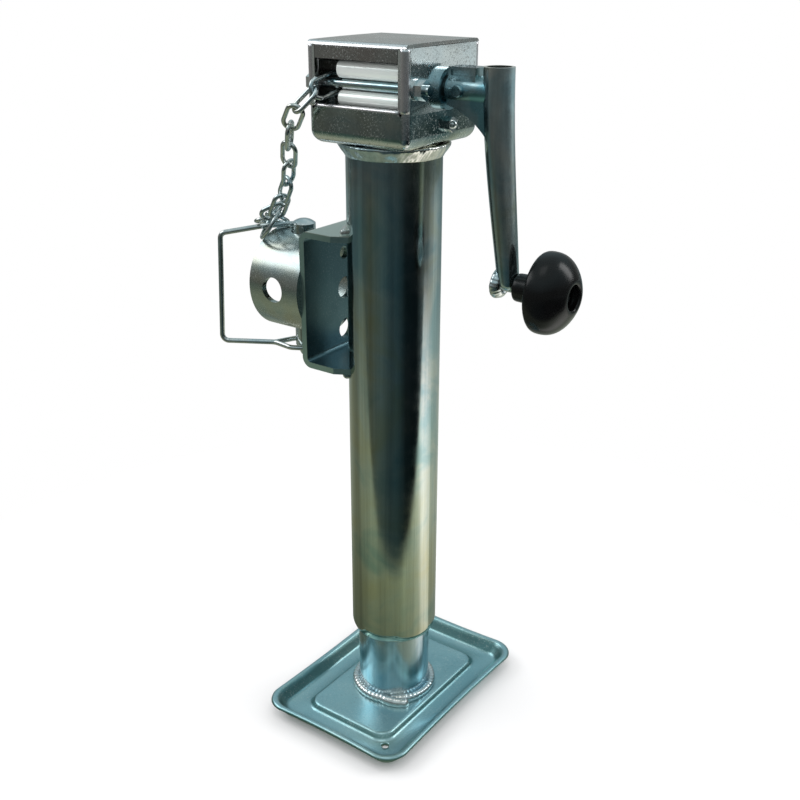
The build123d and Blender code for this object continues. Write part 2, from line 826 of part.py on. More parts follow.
def grip_knob():
    """A mushroom grip turned about its axle, with a recess in its face."""
    neck = grip_neck / 2
    bulb = grip_outer / 2
    bore = grip_axle / 2 + 2 * run_gap
    shoulder = grip_start + grip_neck_length
    widest = grip_start + grip_crest
    recess = grip_recess / 2
    floor = grip_end - grip_recess_depth
    back = grip_back / 2
    flare = grip_neck_flare
    profile = [
        Line((grip_start, 0, bore), (grip_start, 0, neck)),
        Line((grip_start, 0, neck), (shoulder - flare, 0, neck)),
        quarter_arc((shoulder - flare, 0, neck), (shoulder, 0, neck), (shoulder, 0, neck + flare)),
        Line((shoulder, 0, neck + flare), (shoulder, 0, back)),
        level_arc((widest, bulb), (shoulder, back)),
        level_arc((widest, bulb), (grip_end, grip_face / 2)),
        Line((grip_end, 0, grip_face / 2), (grip_end, 0, recess)),
        Line((grip_end, 0, recess), (floor, 0, recess)),
        Line((floor, 0, recess), (floor, 0, bore)),
        Line((floor, 0, bore), (grip_start, 0, bore)),
    ]
    return Location((0, 0, grip_height)) * revolve(make_face(profile), Axis.X)


# Bracket and socket
def side_bracket():
    """A channel with its web away from the tube and its flanges welded to the tube."""
    half = bracket_width / 2
    outer = box_between((-bracket_web, -half, bracket_bottom), (0, half, bracket_top))
    outer = fillet(outer.edges().filter_by(Axis.Y).group_by(Axis.X)[0], bracket_bend)
    inside = bracket_web - bracket_sheet
    inner = box_between(
        (-inside, -half - 1, bracket_bottom + bracket_sheet), (half, half + 1, bracket_top - bracket_sheet)
    )
    inner = fillet(inner.edges().filter_by(Axis.Y).group_by(Axis.X)[0], bracket_bend - bracket_sheet)
    meet_x = tube_radius * bracket_meet
    meet_y = sqrt(tube_radius**2 - meet_x**2)
    plan = make_face(Polyline(
        (-bracket_web, -half), (-bracket_straight, -half), (-meet_x, -meet_y),
        (-meet_x, meet_y), (-bracket_straight, half), (-bracket_web, half), close=True,
    ))
    channel = (outer - inner) & extrude(plan, bracket_top + 1)
    channel -= rod(tube_radius + seat_gap, (0, 0, bracket_bottom - 1), (0, 0, bracket_top + 1))
    for across, height, bore in web_holes:
        channel -= rod(bore / 2, (-bracket_web - 1, across, height), (-inside + 1, across, height))
    return channel


def bracket_welds():
    """A bead over the top flange and one under the bottom flange, round the near side of the tube."""
    spread = bracket_weld_angle
    bead = fillet_weld(tube_radius, bracket_weld, bracket_weld, bracket_weld_bulge, spread)
    upper = Location((0, 0, bracket_top)) * (Rot(0, 0, 180 - spread / 2) * bead)
    lower = Location((0, 0, bracket_bottom)) * (Rot(0, 0, 180 + spread / 2) * (Rot(180, 0, 0) * bead))
    return Compound([upper.solid(), lower.solid()])


def pipe_socket():
    axis = socket_height
    pipe = ring(socket_outer, socket_outer - 2 * socket_wall, (-socket_end, 0, axis), (-bracket_web, 0, axis))
    reach = socket_outer
    for start, end in (((0, -reach), (0, reach)), ((-reach, 0), (reach, 0))):
        pipe -= rod(
            socket_hole / 2, (-pin_place, start[0], axis + start[1]), (-pin_place, end[0], axis + end[1])
        )
    return pipe


# Lock pin and bail
def heading(along, side, up):
    """A point given along the bail, to its side and above its hinge, in the stand's own frame."""
    turn = radians(bail_heading)
    return Vector(
        -pin_place + along * cos(turn) + side * sin(turn),
        along * sin(turn) - side * cos(turn),
        bail_height + up,
    )


def lock_pin():
    shoulder = pin_top - pin_dome
    profile = [
        Line((0, 0, pin_bottom), (pin_tip / 2, 0, pin_bottom)),
        Line((pin_tip / 2, 0, pin_bottom), (pin_radius, 0, pin_bottom + pin_taper)),
        Line((pin_radius, 0, pin_bottom + pin_taper), (pin_radius, 0, shoulder)),
        level_arc((0, pin_top), (pin_radius, shoulder)),
        Line((0, 0, pin_top), (0, 0, pin_bottom)),
    ]
    pin = Location((-pin_place, 0, 0)) * revolve(make_face(profile), Axis.Z)
    return pin - rod(bail_wire / 2 + run_gap, heading(0, -pin_size, 0), heading(0, pin_size, 0))


def wire(points, radii, thick):
    """A round wire along straight runs joined by arcs."""
    path = FilletPolyline(*points, radius=radii)
    start = Plane(origin=path @ 0, z_dir=path % 0)
    return sweep(start * Circle(thick / 2), path=path)


def wire_bail():
    """The bail: a journal in the pin's head, a square loop and a fork that snaps past the pin's tip."""
    clear = pin_radius + bail_wire / 2 + slide_gap
    low = -bail_fork_drop
    loop = [
        heading(0, -pin_radius - bail_journal_end, 0),
        heading(0, bail_side, 0),
        heading(bail_level, 0, 0),
        heading(bail_reach, 0, -bail_corner_drop),
        heading(bail_reach_low, 0, low),
        heading(bail_split, 0, low),
        heading(pin_radius + bail_fork_lead, -clear, low),
        heading(-bail_fork_tail, -clear, low),
    ]
    bail = wire(loop, bail_bends, bail_wire)
    strand = [
        heading(bail_split + bail_strand_lead, 0, low),
        heading(bail_split, 0, low),
        heading(pin_radius + bail_fork_lead, clear, low),
        heading(-bail_fork_tail, clear, low),
    ]
    return bail + wire(strand, bail_strand_bends, bail_wire)


# Keeper chain
def chain_link(index, width):
    """A welded oval link between two points of the chain, turned about its length by its roll."""
    start = chain_point(index)
    end = chain_point(index + 1)
    along = end - start
    bend = (width - chain_wire) / 2
    half = (along.length + chain_wire + chain_gap) / 2 - bend
    path = Wire([
        Line((-half, bend, 0), (half, bend, 0)),
        ThreePointArc((half, bend, 0), (half + bend, 0, 0), (half, -bend, 0)),
        Line((half, -bend, 0), (-half, -bend, 0)),
        ThreePointArc((-half, -bend, 0), (-half - bend, 0, 0), (-half, bend, 0)),
    ])
    link = sweep(Plane(origin=(-half, bend, 0), z_dir=(1, 0, 0)) * Circle(chain_wire / 2), path=path)
    flat = Plane(origin=(start + end) / 2, x_dir=along, z_dir=chain_normal(along, chain_rolls[index]))
    return flat.location * link


def chain_point(index):
    bolt = Vector(chain_inset - window_half, *bolt_place)
    line = heading(*ring_place) - bolt
    return bolt + line * (index / (len(chain_points) - 1)) + Vector(*chain_points[index])


def chain_normal(along, roll):
    along = along.normalized()
    side = along.cross(Vector(0, 0, 1)).normalized()
    up = side.cross(along)
    return side * cos(radians(roll)) + up * sin(radians(roll))


def hanging_links():
    return [chain_link(index, chain_width).solid() for index in range(1, len(chain_points) - 1)]


def chain_ring():
    """The round link that holds the last hanging link and the bail's wire together."""
    facing = heading(*ring_facing) - heading(0, 0, 0)
    flat = Plane(origin=heading(*ring_place), z_dir=facing)
    return flat.location * Torus(ring_size / 2, chain_wire / 2)


def main():
    os.makedirs("parts", exist_ok=True)
    save("foot_plate", foot_plate())
    save("leg_tube", leg_tube())
    save("leg_weld", leg_weld())
    save("screw_nut", screw_nut())
    save("outer_tube", outer_tube())
    save("collar_weld", collar_weld())
    save("gear_housing", gear_housing())
    save("housing_lid", lid())
    save("front_guard", gear_guard(-1))
    save("rear_guard", gear_guard(1))
    save("bevel_gear", bevel_gear())
    save("bevel_pinion", bevel_pinion())
    save("pinion_roll_pin", pinion_roll_pin())
    save("lead_screw", lead_screw())
    save("lower_race", thrust_race(bearing_bottom))
    save("upper_race", thrust_race(bearing_bottom + race_height + ball_size + 2 * seat_gap))
    save("thrust_balls", thrust_balls())
    save("crank_shaft", crank_shaft())
    save("crank_bush", shaft_bush(1))
    save("far_bush", shaft_bush(-1))
    save("shaft_clip", shaft_clip())
    save("cross_bolt", cross_bolt())
    save("bolt_washers", bolt_washers())
    save("bolt_nut", bolt_nut())
    save("stop_screw", stop_screw())
    save("crank_arm", crank_arm())
    save("crank_hub", crank_hub())
    save("hub_rivet", hub_rivet_solid())
    save("grip_axle", grip_axle_solid())
    save("grip_weld", grip_weld())
    save("grip_knob", grip_knob())
    save("side_bracket", side_bracket())
    save("bracket_welds", bracket_welds())
    save("pipe_socket", pipe_socket())
    save("lock_pin", lock_pin())
    save("wire_bail", wire_bail())
    save("chain_top_link", chain_link(0, top_link_width))
    save("chain_links", Compound(hanging_links()))
    save("chain_ring", chain_ring())


main()
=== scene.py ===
import math
from collections import namedtuple

import bmesh
import bpy
from mathutils import Matrix, Vector, noise


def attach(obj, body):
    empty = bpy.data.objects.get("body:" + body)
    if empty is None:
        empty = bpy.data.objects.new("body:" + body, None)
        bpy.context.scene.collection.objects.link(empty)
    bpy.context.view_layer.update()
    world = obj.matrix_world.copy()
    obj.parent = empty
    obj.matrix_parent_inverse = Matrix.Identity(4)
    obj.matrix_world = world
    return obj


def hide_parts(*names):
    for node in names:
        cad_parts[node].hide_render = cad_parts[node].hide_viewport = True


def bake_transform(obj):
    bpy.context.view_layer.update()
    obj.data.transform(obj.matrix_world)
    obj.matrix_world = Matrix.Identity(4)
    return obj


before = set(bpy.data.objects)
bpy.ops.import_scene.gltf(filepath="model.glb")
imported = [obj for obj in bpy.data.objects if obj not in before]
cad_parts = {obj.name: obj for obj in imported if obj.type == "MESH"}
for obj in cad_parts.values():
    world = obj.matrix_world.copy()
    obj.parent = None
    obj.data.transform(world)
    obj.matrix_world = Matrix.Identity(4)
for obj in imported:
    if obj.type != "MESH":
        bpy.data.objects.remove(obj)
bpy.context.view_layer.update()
MM = 0.001

# Camera, fitted to the photograph's edges. Angles are in degrees.
FOCAL_PIXELS = 1073.6
IMAGE_WIDTH = 800
SENSOR_WIDTH = 36.0
CAMERA_PLACE = (0.3926, -0.5358, 0.5096)
CAMERA_YAW = 35.89
CAMERA_PITCH = 22.65
CAMERA_ROLL = 0.15


def add_camera():
    data = bpy.data.cameras.new("camera")
    data.sensor_width = SENSOR_WIDTH
    data.lens = FOCAL_PIXELS * SENSOR_WIDTH / IMAGE_WIDTH
    data.clip_start = 0.01
    camera = bpy.data.objects.new("camera", data)
    camera.location = CAMERA_PLACE
    yaw = Matrix.Rotation(math.radians(CAMERA_YAW), 4, "Z")
    tilt = Matrix.Rotation(math.radians(90 - CAMERA_PITCH), 4, "X")
    roll = Matrix.Rotation(math.radians(CAMERA_ROLL), 4, "Z")
    camera.rotation_euler = (yaw @ tilt @ roll).to_euler()
    bpy.context.collection.objects.link(camera)
    bpy.context.scene.camera = camera


# Node trees
MIX_FACTOR, MIX_A, MIX_B, MIX_RESULT = 0, 6, 7, 2


def rgba(red, green, blue):
    return (red, green, blue, 1.0)


class Tree:
    """A node tree, with a short call for each kind of node that is used here."""

    def __init__(self, tree):
        self.tree = tree
        self.nodes = tree.nodes
        self.nodes.clear()

    def add(self, kind, inputs=None, **settings):
        """Adds a node. Each input is a number, a colour or another node's output."""
        node = self.nodes.new(kind)
        for key, value in settings.items():
            setattr(node, key, value)
        for key, value in (inputs or {}).items():
            self.put(node.inputs[key], value)
        return node

    def put(self, socket, value):
        if isinstance(value, bpy.types.NodeSocket):
            self.tree.links.new(value, socket)
        else:
            socket.default_value = value

    def maths(self, operation, a, b=0.0, c=0.0):
        return self.add("ShaderNodeMath", {0: a, 1: b, 2: c}, operation=operation).outputs[0]

    def distance(self, a, b):
        return self.add("ShaderNodeVectorMath", {0: a, 1: b}, operation="DISTANCE").outputs["Value"]

    def parts(self, vector):
        """A vector's x, y and z."""
        return self.add("ShaderNodeSeparateXYZ", {0: vector}).outputs

    def fade(self, value, start, end):
        """From 0 at the start to 1 at the end, which may be the lower of the two, and level beyond them."""
        return self.add("ShaderNodeMapRange", {
            "Value": value, "From Min": start, "From Max": end}).outputs[0]

    def ramp(self, value, stops):
        """A colour or grey level for each value from 0 to 1, straight between its stops."""
        node = self.add("ShaderNodeValToRGB", {0: value})
        elements = node.color_ramp.elements
        while len(elements) < len(stops):
            elements.new(0.5)
        for element, (place, colour) in zip(elements, stops):
            element.position = place
            element.color = colour if isinstance(colour, tuple) else rgba(colour, colour, colour)
        return node.outputs[0]

    def mix(self, share, a, b, blend="MIX"):
        node = self.add("ShaderNodeMix", data_type="RGBA", blend_type=blend)
        self.put(node.inputs[MIX_FACTOR], share)
        self.put(node.inputs[MIX_A], a)
        self.put(node.inputs[MIX_B], b)
        return node.outputs[MIX_RESULT]

    def tinted(self, share, colour, tint):
        """A share of the colour is multiplied by the tint."""
        return self.mix(share, colour, self.mix(1.0, colour, tint, "MULTIPLY"))

    def noise(self, where, scale, detail=3.0, rough=0.5, distortion=0.0):
        """Cloudy noise from about 0.3 to 0.7. Its scale is in waves per metre."""
        return self.add("ShaderNodeTexNoise", {
            "Vector": where, "Scale": scale, "Detail": detail, "Roughness": rough, "Distortion": distortion,
        }).outputs[0]

    def scaled(self, where, scale):
        return self.add("ShaderNodeMapping", {"Vector": where, "Scale": scale}).outputs[0]

    def bump(self, height, strength, distance, below=None):
        """A bump from a height, on top of another bump if that is given."""
        node = self.add("ShaderNodeBump", {"Strength": strength, "Distance": distance, "Height": height})
        if below is not None:
            self.put(node.inputs["Normal"], below)
        return node.outputs[0]

    def surface(self, colour, roughness, normal, metallic=0.0):
        """A Principled shader as the material's surface."""
        shader = self.add("ShaderNodeBsdfPrincipled", {
            "Base Color": colour, "Roughness": roughness, "Normal": normal, "Metallic": metallic})
        self.add("ShaderNodeOutputMaterial", {0: shader.outputs[0]})
        return shader

    def mixed_shader(self, share, a, b):
        return self.add("ShaderNodeMixShader", {0: share, 1: a, 2: b}).outputs[0]

    def emission(self, colour):
        return self.add("ShaderNodeEmission", {"Color": colour, "Strength": 1.0}).outputs[0]

    def background(self, colour):
        return self.add("ShaderNodeBackground", {"Color": colour, "Strength": 1.0}).outputs[0]


def new_material(name):
    material = bpy.data.materials.new(name)
    material.use_nodes = True
    return material, Tree(material.node_tree)


# Zinc plate. Its plain colours are for the cool, middle and warm parts of a slow drift over the surface.
COOL = rgba(0.46, 0.63, 0.68)
NEUTRAL = rgba(0.70, 0.76, 0.75)
WARM = rgba(0.72, 0.72, 0.58)
SILVER = rgba(0.84, 0.85, 0.84)
OLIVE = rgba(0.94, 0.90, 0.66)
OLIVE_SHARE = 0.75
# Painted highlight colour for the sheet's bends
BEND_HIGHLIGHT_PAINT = rgba(1.0, 0.96, 0.97)
# Painted highlight colour for the posts beside the windows
POST_HIGHLIGHT_PAINT = rgba(1.0, 0.98, 0.98)
BRIGHT_SPECK = rgba(0.95, 0.95, 0.93)
DARK_SPECK = rgba(0.16, 0.18, 0.18)

# Noise in waves per metre, and the depths of bumps in metres
SPECK_SCALE = 850.0
SPECK_PATCH_SCALE = 60.0
BLOTCH_SCALE = 90.0
WAVE_SCALE = 34.0
WAVE_DEPTH = 0.002
GRAIN_SCALE = 1500.0
GRAIN_DEPTH = 0.00006
GRAIN_STRENGTH = 0.12

# Where a point of a surface is in metres, which way the surface faces there, and the drift there
Spot = namedtuple("Spot", "where facing drift")


def olive_below(high, low):
    """Turns the zinc yellow-green towards the bottom, from nothing at one height to most of it at a lower
    one.
    """
    def overlay(t, spot, colour):
        height = t.maths("ADD", t.parts(spot.where)[2], t.maths("MULTIPLY_ADD", spot.drift, 0.05, -0.025))
        return t.tinted(t.maths("MULTIPLY", t.fade(height, high, low), OLIVE_SHARE), colour, OLIVE)
    return overlay


def front_painted_shade_and_light(tint):
    """Painted light and shade: a tint on the faces that look to the front or back, darker on the housing's
    sheet and lighter on the bracket.
    """
    def overlay(t, spot, colour):
        across = t.maths("ABSOLUTE", t.parts(spot.facing)[1])
        return t.tinted(t.fade(across, 0.6, 0.85), colour, tint)
    return overlay


def painted_wall_shade(tint):
    """Painted shade: a darker tint on the faces that don't look straight up."""
    def overlay(t, spot, colour):
        return t.tinted(t.fade(t.parts(spot.facing)[2], 0.95, 0.6), colour, tint)
    return overlay


def painted_dark_patch(centre, size, tint):
    """Painted shade: a cloudy darker patch round a point, on the faces that look to the crank's side."""
    def overlay(t, spot, colour):
        gap = t.distance(spot.where, centre)
        cloudy = t.maths("MULTIPLY_ADD", spot.drift, 0.4, t.maths("MULTIPLY", gap, 1 / size))
        near = t.fade(cloudy, 1.0, 0.4)
        facing = t.fade(t.parts(spot.facing)[0], 0.5, 0.9)
        return t.tinted(t.maths("MULTIPLY", near, facing), colour, tint)
    return overlay


def painted_bend_highlight(share):
    """Painted highlight: brighter zinc where the sheet bends from its top over to the front or back."""
    def overlay(t, spot, colour):
        across = t.maths("ABSOLUTE", t.parts(spot.facing)[1])
        bent = t.ramp(across, [(0.12, 0.0), (0.35, share), (0.9, share), (0.99, 0.0)])
        return t.mix(bent, colour, BEND_HIGHLIGHT_PAINT)
    return overlay


def painted_post_highlight(from_middle, from_height, share):
    """Painted highlight: brighter zinc on the posts beside the windows, from a distance and a height in
    metres.
    """
    def overlay(t, spot, colour):
        x, _, z = t.parts(spot.where)
        beside = t.fade(t.maths("ABSOLUTE", x), from_middle - 0.001, from_middle)
        above = t.maths("GREATER_THAN", z, from_height)
        post = t.maths("MULTIPLY", t.maths("MULTIPLY", beside, above), share)
        return t.mix(post, colour, POST_HIGHLIGHT_PAINT)
    return overlay


def painted_light_above(height, paint):
    """Painted light: another colour above a height in metres, lighter where it is used."""
    def overlay(t, spot, colour):
        return t.mix(t.maths("GREATER_THAN", t.parts(spot.where)[2], height), colour, paint)
    return overlay


def drawn_and_reflected_colour(t, spot, colours, warmth, streak, streak_depth):
    """The drifting colours, darkened along fine streaks that are partly drawn lines in the zinc and partly
    painted reflection. The warmer, the more of the last colour shows.
    """
    cool, neutral, warm = colours
    colour = t.ramp(spot.drift, [(0.36, cool), (0.5, neutral), (0.52 + 0.3 * (1 - warmth), warm)])
    streaks = t.noise(t.scaled(spot.where, streak), 1.0, detail=5.0, rough=0.62)
    return t.mix(1.0, colour, t.ramp(streaks, [(0.34, 1.0 - streak_depth), (0.66, 1.0)]), "MULTIPLY")


def speckled(t, spot, colour, depth, rough):
    """Fine dark specks, and bright dull ones that come in patches. Gives the colour and the roughness."""
    fine = t.noise(spot.where, SPECK_SCALE, detail=2.0, rough=0.7)
    patch = t.fade(t.noise(spot.where, SPECK_PATCH_SCALE, rough=0.6), 0.34, 0.58)
    bright = t.maths("MULTIPLY", t.fade(fine, 0.56, 0.64), patch)
    dark = t.fade(fine, 0.4, 0.28)
    colour = t.mix(t.maths("MULTIPLY", bright, depth), colour, BRIGHT_SPECK)
    colour = t.mix(t.maths("MULTIPLY", dark, depth), colour, DARK_SPECK)
    return colour, t.maths("MULTIPLY_ADD", bright, 0.35 * depth, rough)


def zinc(name, colours=(COOL, NEUTRAL, WARM), warmth=0.5, drift_scale=22.0, streak=(70.0, 70.0, 1.6),
         streak_depth=0.3, overlays=(), specks=0.0, rough=0.2, wave=0.12, metal=1.0):
    """Bright zinc plate: drifting blue, grey and yellow tints, streaks, overlays, specks and wavy gloss.
    Most overlays are painted light and shade, and the streaks are partly painted reflection.
    """
    material, t = new_material(name)
    coordinates = t.add("ShaderNodeTexCoord").outputs
    where = coordinates["Object"]
    drift = t.noise(where, drift_scale, detail=4.0, rough=0.55, distortion=0.6)
    spot = Spot(where, coordinates["Normal"], drift)
    colour = drawn_and_reflected_colour(t, spot, colours, warmth, streak, streak_depth)
    for overlay in overlays:
        colour = overlay(t, spot, colour)
    if specks > 0:
        colour, roughness = speckled(t, spot, colour, specks, rough)
    else:
        roughness = t.maths("MULTIPLY_ADD", t.noise(where, BLOTCH_SCALE, rough=0.6), 0.22, rough - 0.11)
    waves = t.bump(t.noise(where, WAVE_SCALE, detail=2.0), wave, WAVE_DEPTH)
    grain = t.bump(t.noise(where, GRAIN_SCALE, detail=2.0, rough=0.6), GRAIN_STRENGTH, GRAIN_DEPTH, waves)
    t.surface(colour, roughness, grain, metal)
    return material


def plastic(name):
    """Glossy black moulded plastic with faint scuffs."""
    material, t = new_material(name)
    where = t.add("ShaderNodeTexCoord").outputs["Object"]
    cloud = t.noise(where, 60.0, detail=4.0, rough=0.6)
    colour = t.ramp(cloud, [(0.3, rgba(0.0015, 0.0016, 0.0017)), (0.7, rgba(0.0035, 0.0035, 0.0036))])
    scuffs = t.ramp(t.noise(t.scaled(where, (30.0, 900.0, 900.0)), 1.0), [(0.55, 0.0), (0.8, 0.12)])
    roughness = t.maths("ADD", t.ramp(cloud, [(0.3, 0.16), (0.7, 0.26)]), scuffs)
    shader = t.surface(colour, roughness, t.bump(t.noise(where, 160.0), 0.05, 0.0004))
    shader.inputs["Specular IOR Level"].default_value = 0.32
    return material


def steel(name):
    """Bare machined steel with a dark film of grease in patches."""
    material, t = new_material(name)
    where = t.add("ShaderNodeTexCoord").outputs["Object"]
    patch = t.noise(where, 120.0, detail=4.0, rough=0.6)
    colour = t.ramp(patch, [(0.38, rgba(0.16, 0.15, 0.14)), (0.6, rgba(0.46, 0.47, 0.46))])
    roughness = t.ramp(patch, [(0.35, 0.5), (0.65, 0.28)])
    t.surface(colour, roughness, t.bump(t.noise(where, 700.0), 0.1, 0.0002), 1.0)
    return material


# The tube's deep streaks are partly painted reflection
ZINC_TUBE = zinc("zinc_tube", streak_depth=0.48, overlays=[olive_below(0.24, 0.10)], rough=0.13, wave=0.05)
ZINC_LEG = zinc(
    "zinc_leg", colours=(rgba(0.42, 0.62, 0.70), rgba(0.66, 0.78, 0.82), NEUTRAL), warmth=0.3,
    streak=(160.0, 160.0, 1.6), rough=0.22, wave=0.1)
ZINC_SHEET = zinc(
    "zinc_sheet", streak=(60.0, 60.0, 14.0), streak_depth=0.22, specks=0.8, rough=0.13,
    overlays=[
        # Painted shade on the sheet's front and back faces
        front_painted_shade_and_light(rgba(0.66, 0.72, 0.68)),
        # Painted shade round the crank's hub
        painted_dark_patch((0.036, -0.002, 0.419), 0.050, rgba(0.22, 0.33, 0.35)),
        # Painted highlight on the sheet's bends
        painted_bend_highlight(0.8),
        # Painted highlight on the posts beside the windows
        painted_post_highlight(0.0302, 0.4245, 0.7),
    ])
# The lid's bends carry a painted highlight
ZINC_LID = zinc(
    "zinc_lid", colours=(rgba(0.46, 0.47, 0.46), rgba(0.52, 0.48, 0.46), rgba(0.5, 0.44, 0.42)),
    warmth=0.6, streak=(30.0, 30.0, 30.0), streak_depth=0.2, overlays=[painted_bend_highlight(1.0)],
    specks=0.8, rough=0.22)
ZINC_FOOT = zinc(
    "zinc_foot", colours=(rgba(0.30, 0.54, 0.60), rgba(0.40, 0.64, 0.69), rgba(0.52, 0.70, 0.70)),
    warmth=0.2, drift_scale=9.0, streak=(9.0, 9.0, 9.0), streak_depth=0.12,
    # Painted shade on the walls of the foot's pressing
    overlays=[painted_wall_shade(rgba(0.46, 0.54, 0.50))], specks=0.3, rough=0.3)
# Painted shade: the bracket's zinc is darkened all over, and lighter again only where painted light is
# added
ZINC_BRACKET_SHADED = zinc(
    "zinc_bracket_painted_shade", colours=(rgba(0.09, 0.17, 0.20), rgba(0.12, 0.21, 0.24), rgba(0.16, 0.26, 0.28)),
    warmth=0.0, drift_scale=12.0, streak=(18.0, 18.0, 8.0), streak_depth=0.2, specks=0.1, rough=0.32,
    # Painted light on the bracket's front and back faces and above its top weld
    overlays=[front_painted_shade_and_light(rgba(4.2, 3.2, 2.7)), painted_light_above(0.3455, rgba(0.62, 0.70, 0.64))])
ZINC_GUARD = zinc(
    "zinc_guard", colours=(rgba(0.84, 0.92, 0.88), rgba(0.92, 0.95, 0.92), rgba(0.95, 0.95, 0.88)),
    streak=(2.0, 90.0, 90.0), streak_depth=0.12, metal=0.35)
ZINC_SMALL = zinc(
    "zinc_small", colours=(rgba(0.5, 0.68, 0.74), SILVER, SILVER), streak=(120.0, 120.0, 120.0),
    streak_depth=0.2, rough=0.16, wave=0.2)
ZINC_HUB = zinc(
    "zinc_hub", colours=(rgba(0.20, 0.44, 0.52), rgba(0.42, 0.58, 0.62), NEUTRAL), warmth=0.1,
    streak=(90.0, 90.0, 30.0), rough=0.24)
ZINC_ARM = zinc("zinc_arm", streak=(90.0, 90.0, 4.0), streak_depth=0.35, rough=0.18)
ZINC_PIPE = zinc(
    "zinc_pipe", colours=(rgba(0.36, 0.48, 0.50), rgba(0.54, 0.60, 0.58), rgba(0.58, 0.58, 0.48)),
    streak=(6.0, 90.0, 90.0), streak_depth=0.18, specks=0.25, rough=0.26)
ZINC_WELD = zinc(
    "weld", colours=(rgba(0.62, 0.74, 0.78), SILVER, rgba(0.84, 0.82, 0.74)), streak=(260.0, 260.0, 260.0),
    streak_depth=0.25, wave=0.5)
ZINC_WIRE = zinc(
    "zinc_wire", colours=(rgba(0.5, 0.62, 0.66), rgba(0.78, 0.8, 0.78), rgba(0.76, 0.76, 0.7)),
    streak=(150.0, 150.0, 150.0), streak_depth=0.25, rough=0.16, wave=0.2)
# Painted highlight: the housing's rounded bends are near white with a pink tinge, brighter than the sheet
ZINC_BEND_HIGHLIGHT = zinc(
    "zinc_bend_painted_highlight", colours=(rgba(0.86, 0.84, 0.85), rgba(0.92, 0.86, 0.88), rgba(0.93, 0.9, 0.9)),
    streak=(20.0, 200.0, 200.0), streak_depth=0.1, rough=0.26)
STEEL = steel("greased_steel")
PLASTIC = plastic("black_plastic")

# The CAD nodes of each material. All the others, such as bolts and pins, are ZINC_SMALL.
NODES_OF_MATERIAL = [
    (ZINC_TUBE, "outer_tube"),
    (ZINC_LEG, "leg_tube"),
    (ZINC_FOOT, "foot_plate"),
    (ZINC_SHEET, "gear_housing"),
    (ZINC_LID, "housing_lid"),
    (ZINC_GUARD, "front_guard rear_guard"),
    (ZINC_BRACKET_SHADED, "side_bracket"),
    (ZINC_PIPE, "pipe_socket"),
    (ZINC_ARM, "crank_arm"),
    (ZINC_HUB, "crank_hub crank_bush hub_rivet"),
    (ZINC_WIRE, "wire_bail chain_top_link chain_links chain_ring"),
    (ZINC_WELD, "collar_weld leg_weld grip_weld bracket_welds"),
    (PLASTIC, "grip_knob"),
    (STEEL, "lead_screw bevel_gear bevel_pinion pinion_roll_pin crank_shaft screw_nut"),
    (STEEL, "lower_race upper_race thrust_balls"),
]


def dress_nodes():
    finish = {node: material for material, names in NODES_OF_MATERIAL for node in names.split()}
    for name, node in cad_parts.items():
        node.data.materials.clear()
        node.data.materials.append(finish.get(name, ZINC_SMALL))


# Shapes
def add_mesh(name, points, faces, material):
    mesh = bpy.data.meshes.new(name)
    mesh.from_pydata([tuple(p) for p in points], [], faces)
    mesh.validate()
    mesh.polygons.foreach_set("use_smooth", [True] * len(mesh.polygons))
    mesh.materials.append(material)
    piece = bpy.data.objects.new(name, mesh)
    bpy.context.collection.objects.link(piece)
    clean(piece)
    return piece


def clean(piece):
    """Merges doubled points and turns all faces outwards."""
    work = bmesh.new()
    work.from_mesh(piece.data)
    bmesh.ops.remove_doubles(work, verts=work.verts, dist=1e-7)
    bmesh.ops.recalc_face_normals(work, faces=work.faces)
    work.to_mesh(piece.data)
    work.free()


def bake(piece):
    """Applies a piece's modifiers."""
    bpy.context.view_layer.update()
    graph = bpy.context.evaluated_depsgraph_get()
    mesh = bpy.data.meshes.new_from_object(piece.evaluated_get(graph))
    piece.modifiers.clear()
    piece.data = mesh


def subdivide(piece):
    modifier = piece.modifiers.new("smooth", "SUBSURF")
    modifier.levels = 1
    modifier.render_levels = 1
    bake(piece)


def joined(pieces, name):
    """One piece made of several."""
    work = bmesh.new()
    for piece in pieces:
        work.from_mesh(piece.data)
    work.to_mesh(pieces[0].data)
    work.free()
    for piece in pieces[1:]:
        bpy.data.objects.remove(piece)
    pieces[0].name = name
    return pieces[0]


def bridged(rings, close_ends=False, close_loop=False):
    """Points and faces of a skin over rings that have equally many points."""
    count = len(rings[0])
    points = [p for ring in rings for p in ring]
    faces = []
    for i in range(len(rings) if close_loop else len(rings) - 1):
        a, b = i * count, ((i + 1) % len(rings)) * count
        for j in range(count):
            k = (j + 1) % count
            faces.append((a + j, a + k, b + k, b + j))
    if close_ends:
        faces.append(tuple(reversed(range(count))))
        faces.append(tuple(range((len(rings) - 1) * count, len(rings) * count)))
    return points, faces


def lathe(name, profile, axis, centre, material, segments=96):
    """A piece turned about the X or Z axis through a point in metres, from (along, radius) pairs in mm."""
    rings = []
    for along, radius in profile:
        ring = []
        for j in range(segments):
            a = 2 * math.pi * j / segments
            c, s = radius * math.cos(a) * MM, radius * math.sin(a) * MM
            offset = (along * MM, c, s) if axis == "X" else (c, s, along * MM)
            ring.append(Vector(centre) + Vector(offset))
        rings.append(ring)
    points, faces = bridged(rings, close_loop=True)
    return add_mesh(name, points, faces, material)


